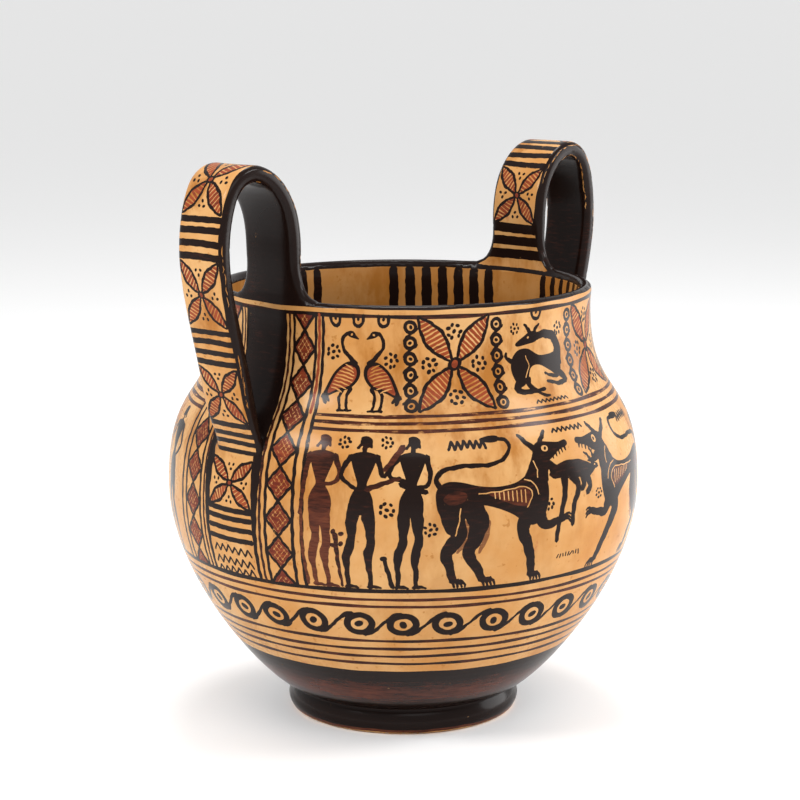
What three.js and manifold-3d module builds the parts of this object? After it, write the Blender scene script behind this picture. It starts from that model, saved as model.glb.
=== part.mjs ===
import * as THREE from 'three';
import { mergeVertices } from 'three/addons/utils/BufferGeometryUtils.js';
import Module from 'manifold-3d';

// Souvenir krater with a round belly, a wide neck and two high strap handles.
// Millimetres, +Z up, the handles lie along X, the foot stands on z = 0.

// body
const BELLY_RADIUS = 104.5;
const BELLY_HEIGHT = 103.6;
const NECK_RADIUS = 82.3;
const NECK_HEIGHT = 184.0;
const RIM_HEIGHT = 192.0;
const LIP_RADIUS = 82.7;
const LIP_THICKNESS = 5.0;
const WALL = 5.4;
const LOWER_CURVE = 43.3;
const SHOULDER_CURVE = 48.8;
const NECK_CURVE = 46.1;

// foot
const FOOT_JOINT_RADIUS = 50.7;
const FOOT_JOINT_HEIGHT = 11.7;
const FOOT_BULGE_RADIUS = 51.5;
const FOOT_BULGE_HEIGHT = 5.5;
const FOOT_REST_RADIUS = 49.6;
const FOOT_RING_INNER = 41.0;
const FOOT_RECESS_RADIUS = 38.0;
const FOOT_RECESS_DEPTH = 8.0;
const FOOT_SPREAD = 9.2;
const FOOT_RISE = 0.9;

// handles
const STRAP_WIDTH = 25.4;
const STRAP_THICKNESS = 7.0;
const STRAP_EDGE = 2.2;
const STRAP_AT_LIP = 4.2;
const STRAP_AT_BELLY = 2.9;
const THICKEN_HEIGHT = 24.0;
const RISING_WIDTH = 28.6;
const RISING_SHARE = 0.4;
const NARROW_FROM = 0.25;
const NARROW_TO = 0.55;
const TAPER_FROM = 0.86;
const TAPER_TO = 0.97;
const FLARE_HEIGHT = 16.0;
const FLARE_WIDTH = 10.0;
const LOOP_POINTS = [
  [80.2, 178.0],
  [80.2, 192.5],
  [79.9, 206.0],
  [80.2, 220.0],
  [83.6, 232.2],
  [91.6, 241.8],
  [102.5, 246.0],
  [111.8, 240.5],
  [116.5, 227.5],
  [117.9, 213.0],
  [116.3, 199.0],
  [112.4, 182.0],
  [108.4, 166.0],
  [104.7, 150.0],
  [102.2, 141.0],
  [100.3, 134.5],
  [99.5, 129.0],
  [99.7, 123.0]
];

// steps round the wheel and along the strap
const TURN_STEPS = 56;
const STRAP_STEPS = 46;
const INNER_STEP = 2;

const wasm = await Module();
wasm.setup();

function toManifold(geometry) {
  const bare = geometry.clone();
  bare.deleteAttribute('normal');
  bare.deleteAttribute('uv');
  const welded = mergeVertices(bare, 1e-4);
  const place = welded.getAttribute('position').array;
  const turns = [];
  const index = welded.getIndex().array;
  for (let i = 0; i < index.length; i += 3) {
    const corners = [index[i], index[i + 1], index[i + 2]];
    if (new Set(corners).size === 3) {
      turns.push(...corners);
    }
  }
  const mesh = new wasm.Mesh({
    numProp: 3,
    vertProperties: new Float32Array(place),
    triVerts: new Uint32Array(turns)
  });
  return new wasm.Manifold(mesh);
}

function outerWall() {
  const path = new THREE.Path();
  path.moveTo(FOOT_JOINT_RADIUS, FOOT_JOINT_HEIGHT);
  path.bezierCurveTo(
    FOOT_JOINT_RADIUS + FOOT_SPREAD, FOOT_JOINT_HEIGHT + FOOT_RISE,
    BELLY_RADIUS, BELLY_HEIGHT - LOWER_CURVE,
    BELLY_RADIUS, BELLY_HEIGHT
  );
  path.bezierCurveTo(
    BELLY_RADIUS, BELLY_HEIGHT + SHOULDER_CURVE,
    NECK_RADIUS, NECK_HEIGHT - NECK_CURVE,
    NECK_RADIUS, NECK_HEIGHT
  );
  return path.getPoints(9);
}

function innerWall(outer) {
  const offset = [];
  for (let i = 1; i < outer.length; i += INNER_STEP) {
    const before = outer[i - 1];
    const after = outer[Math.min(i + 1, outer.length - 1)];
    const along = after.clone().sub(before).normalize();
    const inward = new THREE.Vector2(-along.y, along.x);
    offset.push(outer[i].clone().addScaledVector(inward, WALL));
  }
  return offset;
}

function bodyGeometry() {
  const outer = outerWall();
  const inner = innerWall(outer);
  const half = LIP_THICKNESS / 2;
  const lipCentre = LIP_RADIUS - half;
  const foot = new THREE.Path();
  foot.moveTo(0, FOOT_RECESS_DEPTH);
  foot.lineTo(FOOT_RECESS_RADIUS - 3, FOOT_RECESS_DEPTH);
  foot.quadraticCurveTo(FOOT_RECESS_RADIUS, FOOT_RECESS_DEPTH, FOOT_RECESS_RADIUS + 1, FOOT_RECESS_DEPTH - 3);
  foot.lineTo(FOOT_RING_INNER, 0);
  foot.lineTo(FOOT_REST_RADIUS, 0);
  foot.quadraticCurveTo(FOOT_BULGE_RADIUS, 1.2, FOOT_BULGE_RADIUS, FOOT_BULGE_HEIGHT);
  foot.quadraticCurveTo(FOOT_BULGE_RADIUS, 9.5, FOOT_JOINT_RADIUS, FOOT_JOINT_HEIGHT);
  const lip = new THREE.Path();
  lip.absarc(lipCentre, RIM_HEIGHT - half, half, 0, Math.PI, false);
  const floorHeight = inner[0].y;
  const profile = [
    ...foot.getPoints(3),
    ...outer.slice(1),
    ...lip.getPoints(6),
    ...inner.reverse(),
    new THREE.Vector2(30, floorHeight - 1.2),
    new THREE.Vector2(0, floorHeight - 1.6)
  ];
  profile[0].x = 0;
  const turned = new THREE.LatheGeometry(profile, TURN_STEPS);
  turned.rotateX(Math.PI / 2);
  return turned;
}

function strapGeometry(side) {
  const w = STRAP_WIDTH / 2;
  const t = STRAP_THICKNESS / 2;
  const e = STRAP_EDGE;
  const section = new THREE.Shape();
  section.moveTo(w - e, -t);
  section.quadraticCurveTo(w, -t, w, -t + e);
  section.lineTo(w, t - e);
  section.quadraticCurveTo(w, t, w - e, t);
  section.lineTo(-w + e, t);
  section.quadraticCurveTo(-w, t, -w, t - e);
  section.lineTo(-w, -t + e);
  section.quadraticCurveTo(-w, -t, -w + e, -t);
  const strap = new THREE.ExtrudeGeometry(section, {
    depth: 1,
    steps: STRAP_STEPS,
    bevelEnabled: false,
    curveSegments: 2
  });
  const loop = new THREE.CatmullRomCurve3(
    LOOP_POINTS.map(([radius, height]) => new THREE.Vector3(radius, 0, height)),
    false,
    'centripetal'
  );
  const place = strap.getAttribute('position');
  for (let i = 0; i < place.count; i += 1) {
    const along = THREE.MathUtils.clamp(place.getZ(i), 0, 1);
    const centre = loop.getPointAt(along);
    const heading = loop.getTangentAt(along);
    const climb = centre.z - RIM_HEIGHT;
    const rising = along < RISING_SHARE;
    let flare = 0;
    let thin = 1;
    if (rising) {
      const low = THREE.MathUtils.clamp(1 - climb / FLARE_HEIGHT, 0, 1);
      flare = FLARE_WIDTH * (1 - Math.sqrt(1 - low * low));
      const grown = THREE.MathUtils.smoothstep(climb, 0, THICKEN_HEIGHT);
      thin = THREE.MathUtils.lerp(STRAP_AT_LIP / STRAP_THICKNESS, 1, grown);
    } else {
      const sunk = THREE.MathUtils.smoothstep(along, TAPER_FROM, TAPER_TO);
      thin = THREE.MathUtils.lerp(1, STRAP_AT_BELLY / STRAP_THICKNESS, sunk);
    }
    const narrowed = THREE.MathUtils.smoothstep(along, NARROW_FROM, NARROW_TO);
    const spread = THREE.MathUtils.lerp(RISING_WIDTH / STRAP_WIDTH, 1, narrowed);
    const across = place.getX(i) * (spread + flare / w);
    const out = place.getY(i) * thin;
    const radius = centre.x + out * heading.z;
    const height = centre.z - out * heading.x;
    const turn = -across / centre.x;
    place.setXYZ(i, side * radius * Math.cos(turn), side * radius * Math.sin(turn), height);
  }
  return strap;
}

const body = toManifold(bodyGeometry());
const rightStrap = toManifold(strapGeometry(1));
const leftStrap = toManifold(strapGeometry(-1));
const whole = body.add(rightStrap).add(leftStrap).getMesh();

const geometry = new THREE.BufferGeometry();
const stride = whole.numProp;
const corners = [];
for (let i = 0; i < whole.vertProperties.length; i += stride) {
  corners.push(whole.vertProperties[i], whole.vertProperties[i + 1], whole.vertProperties[i + 2]);
}
geometry.setAttribute('position', new THREE.Float32BufferAttribute(corners, 3));
geometry.setIndex(Array.from(whole.triVerts));
geometry.computeVertexNormals();

const firedClay = new THREE.MeshStandardMaterial({ color: 0xc98a4b, roughness: 0.35, metalness: 0 });
const krater = new THREE.Mesh(geometry, firedClay);
krater.name = 'krater';

const group = new THREE.Group();
group.name = 'greek_krater';
group.add(krater);

export default group;
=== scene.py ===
import math
import random

import bmesh
import bpy
import numpy as np
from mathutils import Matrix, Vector
from mathutils.bvhtree import BVHTree
from mathutils.geometry import delaunay_2d_cdt


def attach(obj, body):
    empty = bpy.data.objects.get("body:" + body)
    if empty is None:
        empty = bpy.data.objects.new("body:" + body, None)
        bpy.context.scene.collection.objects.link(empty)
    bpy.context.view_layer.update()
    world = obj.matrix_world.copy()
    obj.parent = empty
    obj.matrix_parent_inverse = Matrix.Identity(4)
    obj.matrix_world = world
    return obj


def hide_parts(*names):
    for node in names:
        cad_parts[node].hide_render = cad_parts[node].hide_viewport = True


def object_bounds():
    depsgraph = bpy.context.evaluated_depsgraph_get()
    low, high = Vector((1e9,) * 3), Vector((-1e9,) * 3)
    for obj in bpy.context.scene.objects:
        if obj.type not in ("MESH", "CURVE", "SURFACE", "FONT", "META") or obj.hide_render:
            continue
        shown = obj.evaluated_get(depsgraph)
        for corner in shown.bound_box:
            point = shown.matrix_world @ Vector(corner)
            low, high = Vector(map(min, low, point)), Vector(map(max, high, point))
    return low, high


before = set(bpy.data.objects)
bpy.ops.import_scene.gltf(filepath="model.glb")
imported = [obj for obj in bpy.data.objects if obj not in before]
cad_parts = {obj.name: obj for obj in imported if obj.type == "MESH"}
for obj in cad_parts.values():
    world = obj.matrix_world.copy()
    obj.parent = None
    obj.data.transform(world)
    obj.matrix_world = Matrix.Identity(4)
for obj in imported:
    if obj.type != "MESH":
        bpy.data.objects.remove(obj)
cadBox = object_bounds()
drawnHeight = 249.49  # millimetres, over the handles
fit = cadBox[1].z / drawnHeight  # metres for one millimetre of the drawing
paintSeed = 41
rand = random.Random(paintSeed)
print("frame loaded", [round(v, 4) for v in cadBox[1] - cadBox[0]])

# turned body, millimetres, points are (radius, height)
vessel = {
    "joint": (50.7, 11.7),
    "belly": (104.5, 103.6),
    "neck": (82.3, 184.0),
    "lowerCurve": 43.3,
    "shoulderCurve": 48.8,
    "neckCurve": 46.1,
    "rim": 192.0,
    "lipRadius": 82.7,
    "lip": 5.0,
    "wall": 5.4,
    "unevenness": 0.35,
    "steadyRadius": 50.0,  # the unevenness fades out inside this
    "seed": 3.0,
    "footSpread": (9.2, 0.9),  # how the wall leaves the foot
    "lowerFrom": 0.1,  # share of the lower curve that the foot's groove takes
    # curves of the foot, each a start, two pulls and an end
    "recess": ((33, 8), (37, 8), (38.4, 7), (39.2, 5)),
    "ringInside": ((40.6, 0.9), (40.8, 0.2), (41.3, 0), (42, 0)),
    "ringOutside": ((48.4, 0), (49.8, 0), (50.5, 0.5), (50.9, 1.6)),
    "footSwell": ((50.9, 1.6), (52.4, 4), (52.0, 7), (50.1, 9.9)),
    "groove": ((50.1, 9.9), (49.0, 11.5), (50.0, 12.0)),  # ends where the wall starts
    "floor": ((46, 16.6), (30, 16.2), (0, 15.8)),  # starts where the inner wall ends
}

# strap handles, the loop is (radius, height) from inside the neck wall to inside the belly
strap = {
    "width": 25.4,
    "risingWidth": 28.6,
    "narrow": (0.25, 0.55),  # share of the loop where it narrows to its width
    "thickness": 7.0,
    "edge": 2.4,
    "atLip": 4.2,
    "atBelly": 2.9,
    "thickenHeight": 24.0,  # above the rim, where it has its full thickness
    "risingPart": 0.4,  # share of the loop that climbs from the lip
    "taper": (0.86, 0.97),  # share of the loop where it thins into the belly
    "flareHeight": 16.0,
    "flareWidth": 10.0,
    "loop": [
        (80.2, 178.0), (80.2, 192.5), (79.9, 206.0), (80.2, 220.0), (83.6, 232.2), (91.6, 241.8),
        (102.5, 245.7), (111.8, 240.3), (116.5, 227.5), (117.9, 213.0), (116.3, 199.0), (112.4, 182.0),
        (108.4, 166.0), (104.7, 150.0), (102.2, 141.0), (100.3, 134.5), (99.5, 129.0), (99.7, 123.0),
    ],
    "easeRounds": 30,  # rounds that ease the loop's corners
    "rimAt": 14.5,  # length along the loop where it leaves the lip
    "fillet": 3.2,
    "jointWidth": 35.0,  # joints lie within this of the handles' plane
    "jointAbove": 110.0,  # and above this height
    "jointRounds": 6,  # rounds that even out the joint
}

# where the painted rings lie, heights in millimetres
bands = {
    "lipLow": 190.5,
    "lipInside": 0.8,  # how far the dark lip reaches down into the mouth
    "neckTop": 187.9,
    "shoulder": (148.3, 145.6, 142.8),
    "ground": 77.6,
    "belowGround": (73.6, 70.2),
    "eyes": 61.8,
    "eyeCount": 31,
    "low": (53.4, 49.2, 45.4, 41.2),
    "blackFrom": 37.0,
    "thinSlip": ((17.2, 31.0, 0.6), (18.6, 28.4, 0.48), (20.0, 26.0, 0.38)),  # low, high, how thick
    "insideDark": 167.0,
    "picture": (20.6, 159.4),  # degrees from a handle to the picture's two edges
    "lineWidth": 1.7,
}

# how finely the flat sheets are cut, counts and millimetres
fineness = {
    "bodyColumns": 128,
    "bodyGaps": (6, 0.9, 0.9, 4.0, 0.8, 0.8, 6.0, 8.0),  # between rows, from the underside to the floor
    "ringReach": 14,  # the fine rows under the foot
    "strapColumns": 48,
    "strapRows": 150,
    "bodyTwinColumns": 180,
    "strapTwinColumns": 64,
    "strapTwinRows": 260,
    "clear": 0.8,  # grid points this near the drawing are left out
    "weld": 0.004,
}
sheetRadius = 100.0  # the flat drawing of the body is this radius unrolled
seamAt = -23.2  # degrees from the left handle where the drawing is cut open, a column without figures
paintTurn = -1.2  # the painter's middle lies a little beside the handle's


# curves


def bezier(a, b, c, d, count=24, start=0.0):
    t = np.linspace(start, 1, count)[:, None]
    a, b, c, d = (np.array(p, float) for p in (a, b, c, d))
    return (1 - t) ** 3 * a + 3 * (1 - t) ** 2 * t * b + 3 * (1 - t) * t * t * c + t**3 * d


def runLength(points):
    return np.concatenate(([0], np.cumsum(np.hypot(*np.diff(points, axis=0).T))))


def resample(points, step):
    run = runLength(points)
    at = np.linspace(0, run[-1], max(2, int(run[-1] / step) + 1))
    return np.stack((np.interp(at, run, points[:, 0]), np.interp(at, run, points[:, 1])), 1)


def rounded(points, closed=False, step=1.1):
    p = np.array(points, float)
    if len(p) < 3 and not closed:
        return resample(p, step)
    if closed:
        p = np.vstack((p[-1], p, p[0], p[1]))
    else:
        p = np.vstack((2 * p[0] - p[1], p, 2 * p[-1] - p[-2]))
    t = np.linspace(0, 1, 10, endpoint=False)[:, None]
    parts = []
    for a, b, c, d in zip(p[:-3], p[1:-2], p[2:-1], p[3:]):
        curve = 2 * b + (c - a) * t + (2 * a - 5 * b + 4 * c - d) * t**2 + (3 * b - a - 3 * c + d) * t**3
        parts.append(0.5 * curve)
    line = np.vstack(parts + [p[-2:-1]])
    return resample(line, step)


def turnedProfile(v):
    j, b, n = v["joint"], v["belly"], v["neck"]
    out, up = v["footSpread"]
    lower = bezier(j, (j[0] + out, j[1] + up), (b[0], b[1] - v["lowerCurve"]), b, 90, v["lowerFrom"])
    upper = bezier(b, (b[0], b[1] + v["shoulderCurve"]), (n[0], n[1] - v["neckCurve"]), n, 90)[1:]
    outer = np.vstack((lower, upper))
    along = np.gradient(outer, axis=0)
    along /= np.linalg.norm(along, axis=1)[:, None]
    inner = (outer + v["wall"] * np.stack((-along[:, 1], along[:, 0]), 1))[::-1]
    half = v["lip"] / 2
    turn = np.linspace(0, math.pi, 25)[:, None]
    lip = np.hstack((np.cos(turn), np.sin(turn))) * half + (v["lipRadius"] - half, v["rim"] - half)
    recessEdge = v["recess"][0]
    underside = np.vstack((
        [(0, recessEdge[1]), recessEdge],
        bezier(*v["recess"]),
        bezier(*v["ringInside"], 6),
        bezier(*v["ringOutside"], 8),
    ))
    footSide = np.vstack((bezier(*v["footSwell"], 16)[1:], bezier(*v["groove"], lower[0], 10)[1:-1]))
    floor = bezier(inner[-1], *v["floor"], 20)[1:]
    parts = {
        "underside": underside,
        "foot": footSide,
        "outer": outer,
        "lip": lip,
        "inner": inner,
        "floor": floor,
    }
    points = np.vstack(list(parts.values()))
    ends = np.cumsum([len(p) for p in parts.values()]) - 1
    return points, dict(zip(parts, runLength(points)[ends]))


profile, mark = turnedProfile(vessel)
profileRun = runLength(profile)
lipTop = float(profileRun[np.argmax(profile[:, 1])])
outside = (profileRun >= mark["underside"]) & (profileRun <= lipTop)
inside = (profileRun >= mark["lip"]) & (profileRun <= mark["inner"])
sheetWidth = 2 * math.pi * sheetRadius


def lengthAt(height):
    return float(np.interp(height, profile[outside, 1], profileRun[outside]))


def lengthInside(height):
    return float(np.interp(height, profile[inside, 1][::-1], profileRun[inside][::-1]))


def radiusAt(height):
    return float(np.interp(height, profile[outside, 1], profile[outside, 0]))


def across(offset):
    # offset is in degrees round from the left handle
    return math.radians(offset + paintTurn - seamAt) * sheetRadius


# flat drawing: outlines in painting order, each slip, red or bare clay


class Sheet:
    def __init__(self, width, height, wraps):
        self.width, self.height, self.wraps = width, height, wraps
        self.shapes = []

    def add(self, outline, kind, tone, dry=0.0):
        # tone is how thick the paint is, dry how broken the brush left it; on bare clay, dry is how much of
        # the stain and shade colour it takes, which inside the mouth is painted shade
        self.shapes.append((outline, kind, tone, dry))
        if self.wraps:
            low, high = outline[:, 0].min(), outline[:, 0].max()
            if low < 0:
                self.shapes.append((outline + (self.width, 0), kind, tone, dry))
            if high > self.width:
                self.shapes.append((outline - (self.width, 0), kind, tone, dry))


class Pen:
    def __init__(self, sheet, place, fine=1.0):
        self.sheet, self.place, self.fine = sheet, place, fine

    def at(self, x, y, size=1.0, flip=1, lean=0.0):
        # the same pen moved, scaled, mirrored or leaned
        turned = np.array(((size * flip, 0), (lean * size * flip, size)))
        return Pen(self.sheet, lambda p: self.place(p @ turned + (x, y)), self.fine / size)

    def fill(self, points, kind="slip", tone=None, smooth=True):
        line = rounded(points, True, self.fine)[:-1] if smooth else np.array(points, float)
        self.sheet.add(self.place(line), kind, rand.uniform(0.72, 1.0) if tone is None else tone)

    def stroke(self, points, width, kind="slip", tone=None, closed=False, wobble=0.12, dry=0.0):
        line = rounded(points, closed, self.fine)
        run = np.linspace(0, 1, len(line))
        width = np.atleast_1d(np.array(width, float))
        width = np.interp(run, np.linspace(0, 1, len(width)), width)
        phase = [rand.uniform(0, 6.3) for i in range(4)]
        wave = 2 * math.pi * (np.round(runLength(line)[-1] / 9) + 1) * run
        shake = np.minimum(width, 1.4) * wobble
        width = width + shake * (np.sin(wave + phase[0]) + 0.6 * np.sin(2 * wave + phase[1]))
        along = np.gradient(line, axis=0)
        if closed:
            along[0] = along[-1] = line[1] - line[-2]
        along /= np.maximum(np.linalg.norm(along, axis=1)[:, None], 1e-9)
        side = np.stack((-along[:, 1], along[:, 0]), 1)
        sway = wobble * (np.sin(wave + phase[2]) + 0.5 * np.sin(2 * wave + phase[3]))
        line = line + side * sway[:, None]
        left, right = line + side * width[:, None] / 2, line - side * width[:, None] / 2
        if closed:
            outline = np.vstack((left, right[::-1]))
        else:
            tips = line[[0, -1]] + along[[0, -1]] * np.array([[-0.45 * width[0]], [0.45 * width[-1]]])
            outline = np.vstack((left, tips[1:], right[::-1], tips[:1]))
        self.sheet.add(self.place(outline), kind, rand.uniform(0.65, 1.0) if tone is None else tone, dry)

    def dot(self, x, y, radius, kind="slip", tone=None):
        count = 9 if radius < 1.2 else 14
        turn = np.linspace(0, 2 * math.pi, count, endpoint=False)[:, None] + rand.uniform(0, 1)
        reach = radius * (1 + 0.16 * np.sin(2 * turn + rand.uniform(0, 6)))
        points = np.hstack((np.cos(turn), np.sin(turn))) * reach + (x, y)
        self.sheet.add(self.place(points), kind, rand.uniform(0.7, 1.0) if tone is None else tone)

    def ring(self, x, y, radius, width, kind="slip", squash=1.0):
        turn = np.linspace(0, 2 * math.pi, 9, endpoint=False)
        reach = radius * (1 + 0.05 * np.sin(2 * turn + rand.uniform(0, 6)))
        points = np.stack((x + reach * np.cos(turn), y + squash * reach * np.sin(turn)), 1)
        self.stroke(points, width, kind, closed=True, wobble=0.05)


# ornaments, sizes in millimetres


def rosette(pen, x, y, size=1.0):
    pen.dot(x, y, 0.95 * size)
    for i in range(7):
        turn = math.radians(360 / 7 * i + rand.uniform(-9, 9))
        reach = 2.75 * size
        pen.dot(x + reach * math.cos(turn), y + reach * math.sin(turn), rand.uniform(0.8, 1.02) * size)


def threeDots(pen, x, y, up=1, size=1.0):
    for dx, dy in ((-1.3, 0.8), (1.3, 0.9), (0.1, -1.1)):
        pen.dot(x + dx * size, y + dy * up * size, 0.72 * size)


def eyeChain(pen, x, low, high, count):
    gap = (high - low) / count
    for i in range(count):
        y = low + gap * (i + 0.5)
        pen.ring(x + rand.uniform(-0.2, 0.2), y, gap * 0.355, gap * 0.25)
        pen.dot(x + rand.uniform(-0.25, 0.25), y, gap * 0.13)
        if i + 1 < count:
            link = ((-0.46, 0.12), (-0.1, 0.5), (0.46, 0.9))
            pen.stroke([(x + gap * dx, y + gap * dy) for dx, dy in link], gap * 0.2)


def petal(pen, x0, y0, x1, y1, fat, hatch, line=1.25):
    axis = np.array((x1 - x0, y1 - y0))
    size = np.linalg.norm(axis)
    axis = axis / size
    side = np.array((-axis[1], axis[0]))
    base = np.array((x0, y0))
    where = np.array((0.0, 0.18, 0.48, 0.78, 1.0))
    reach = np.array((0.12, 0.6, 1.0, 0.62, 0.04)) * fat
    for i in range(hatch):  # red hatching inside, bare clay between
        t = (i + 0.9) / (hatch + 1.2)
        w = np.interp(t, where, reach) * 0.95
        lean = axis * rand.uniform(0.3, 0.9)
        mid = base + axis * t * size
        wide = size / hatch * rand.uniform(0.5, 0.74)
        ends = [mid - side * w - lean, mid + side * w + lean]
        pen.stroke(ends, wide, "red", rand.uniform(0.1, 0.7), wobble=0.05)
    for way in (1, -1):
        edge = [base + axis * t * size + side * w * way for t, w in zip(where, reach)]
        pen.stroke(edge, (0.8 * line, 1.05 * line, line, 0.75 * line))


def crossFlower(pen, x, y, wide, high, heart=1.9, dots=True, hatch=10, line=1.25):
    fat = 0.083 * math.hypot(wide, high)
    for sx, sy in ((1, 1), (1, -1), (-1, 1), (-1, -1)):
        start = (x + sx * heart * 0.7, y + sy * heart * 0.7)
        petal(pen, *start, x + sx * wide * 0.485, y + sy * high * 0.485, fat, hatch, line)
    pen.dot(x, y, heart * 1.2)
    pen.dot(x, y, heart * 0.62, "red", 0.6)
    if dots:
        for sx, sy in ((1, 0), (-1, 0), (0, 1), (0, -1)):
            threeDots(pen, x + sx * wide * 0.33, y + sy * high * 0.34, 1 if sy >= 0 else -1)


def lozenge(pen, wide, high, half=0):
    # half is 1 or -1 where only the upper or the lower half shows
    corners = [(0, high / 2), (wide / 2, 0), (0, -high / 2), (-wide / 2, 0)]
    tips = [p for p in corners if p[1] * half >= 0]
    mid = np.mean(tips, axis=0)
    pen.fill([mid + (np.array(p) - mid) * 0.86 for p in tips], "red", rand.uniform(0.62, 0.92), smooth=False)
    for i in (-1.5, -0.5, 0.5, 1.5):  # scratched chequer, broken lines
        for lean in (1, -1):
            cx, cy = i * wide * 0.095, -lean * i * high * 0.095
            for t in (-0.72, -0.24, 0.24, 0.72):
                x, y = cx + wide * 0.19 * t, cy + lean * high * 0.19 * t
                if rand.random() < 0.3 or y * half < -0.04 * high:
                    continue
                dx, dy = wide * 0.035, lean * high * 0.035
                scratch = [(x - dx, y - dy), (x + dx, y + dy)]
                pen.stroke(scratch, rand.uniform(0.16, 0.28), "clay", wobble=0.02)
    for (ax, ay), (bx, by) in zip(tips, tips[1:] + tips[:1]):
        pen.stroke([(ax, ay), ((ax + bx) / 2, (ay + by) / 2), (bx, by)], 1.3)


def zigzag(pen, left, right, y, high, count, width=0.8):
    step = (right - left) / (2 * count)
    points = []
    for i in range(2 * count + 1):
        swing = high * (0.5 if i % 2 else -0.5)
        points.append((left + step * i, y + swing + rand.uniform(-0.15, 0.15) * high))
    for a, b in zip(points, points[1:]):
        pen.stroke([a, ((a[0] + b[0]) / 2 + 0.1, (a[1] + b[1]) / 2), b], width, wobble=0.04)


def scribble(pen, x, y, count):  # a row of slanting strokes
    for i in range(count):
        lean = rand.uniform(-0.7, 0.9)
        cx = x + i * 1.5
        ends = (cx - lean, y - rand.uniform(0.5, 1.1)), (cx + lean, y + rand.uniform(0.5, 1.1))
        pen.stroke([ends[0], (cx, y), ends[1]], 0.7, wobble=0.05)


def bird(pen):
    for x, foot in ((0.2, -0.4), (3.4, 2.6)):
        pen.stroke([(x, 10), (x - 1.5, 6.0), (foot, 1.2), (foot + 0.2, 0.6)], (1.9, 1.35, 1.3, 1.2))
        pen.stroke([(foot - 0.9, 0.5), (foot + 2.0, 0.5)], (1.3, 0.9))
    body = [
        (-8.9, 5.2), (-7.9, 9.6), (-4.4, 16.5), (1.4, 20.8),
        (6.4, 19.4), (7.0, 14.6), (3.2, 10.0), (-3.0, 8.0),
    ]
    pen.fill(body, "slip")
    pen.fill([(x * 0.76 + 0.1, (y - 14) * 0.76 + 14.1) for x, y in body], "red", 0.5)
    for i in range(8):
        y = 9.2 + i * 1.35
        left = np.interp(y, (8, 10.5, 15, 19), (-5.6, -5.0, -3.0, 0.8))
        right = np.interp(y, (8, 9.5, 13, 16, 19), (-3.4, 0.2, 3.6, 4.6, 3.8))
        feather = [(left, y + 0.9), ((left + right) / 2, y + 0.3), (right, y - 0.9)]
        pen.stroke(feather, (0.35, 0.7, 0.4), "clay", wobble=0.08)
    pen.stroke([(-8.6, 6.4), (-7.0, 3.4)], (2.2, 1.4))
    pen.stroke([(-7.4, 6.6), (-5.6, 4.2)], (1.8, 1.2))
    neck = [(5.0, 19.6), (2.4, 22.4), (-0.7, 25.8), (-1.4, 29.2), (0.3, 32.0), (2.6, 32.6)]
    pen.stroke(neck, (2.8, 2.0, 1.6, 1.5, 1.6, 1.8))
    pen.fill([(1.2, 31.4), (1.6, 33.3), (3.8, 33.2), (5.0, 31.6), (6.6, 29.9), (4.6, 30.2), (2.8, 30.6)])
    pen.dot(3.0, 31.9, 0.5, "clay")


def deer(pen):  # lying down with its head turned back
    body = [
        (-12.6, 14.6), (-12.2, 19.6), (-8.6, 23.0), (-3.4, 23.2), (2.4, 20.4), (8.2, 20.2), (13.6, 20.4),
        (15.2, 15.0), (12.6, 11.2), (8.0, 13.8), (2.2, 16.6), (-2.6, 16.0), (-5.4, 11.2), (-9.6, 9.2),
    ]
    pen.fill(body, "slip", 0.85)
    neck = [(13.2, 16.4), (14.4, 21.8), (12.0, 26.4), (6.4, 28.0), (0.6, 27.4)]
    pen.stroke(neck, (5.6, 4.6, 3.8, 3.2, 2.8), tone=0.9)
    pen.fill([(2.4, 28.9), (-1.6, 29.6), (-5.4, 28.0), (-9.8, 25.6), (-9.0, 24.4), (-4.4, 24.8), (1.6, 25.8)])
    pen.stroke([(-1.6, 28.6), (-3.4, 31.0), (-5.0, 32.6)], (2.0, 1.7, 1.0))
    pen.stroke([(0.4, 28.4), (1.4, 30.6), (3.4, 32.0)], (2.0, 1.6, 1.0))
    pen.dot(-3.0, 27.4, 0.5, "clay")
    pen.stroke([(-7.6, 12.6), (-11.4, 8.4), (-6.0, 7.0), (2.6, 7.2)], (4.6, 2.6, 1.8, 1.3))
    pen.stroke([(-5.4, 12.0), (-4.4, 8.8), (1.4, 5.0), (4.2, 4.4)], (3.4, 1.9, 1.5, 1.0))
    pen.stroke([(12.6, 13.6), (16.4, 9.6), (11.2, 8.6), (5.0, 10.2)], (3.8, 2.2, 1.7, 1.2))
    pen.stroke([(13.4, 12.4), (9.6, 11.6), (4.6, 13.2)], (2.4, 1.5, 1.1))
    pen.stroke([(-11.8, 18.8), (-14.6, 20.6), (-14.8, 22.4)], (2.4, 1.6, 1.2))
    pen.stroke([(-5.0, 20.6), (-3.6, 16.8), (-6.2, 12.6)], 0.4, "clay")


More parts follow.
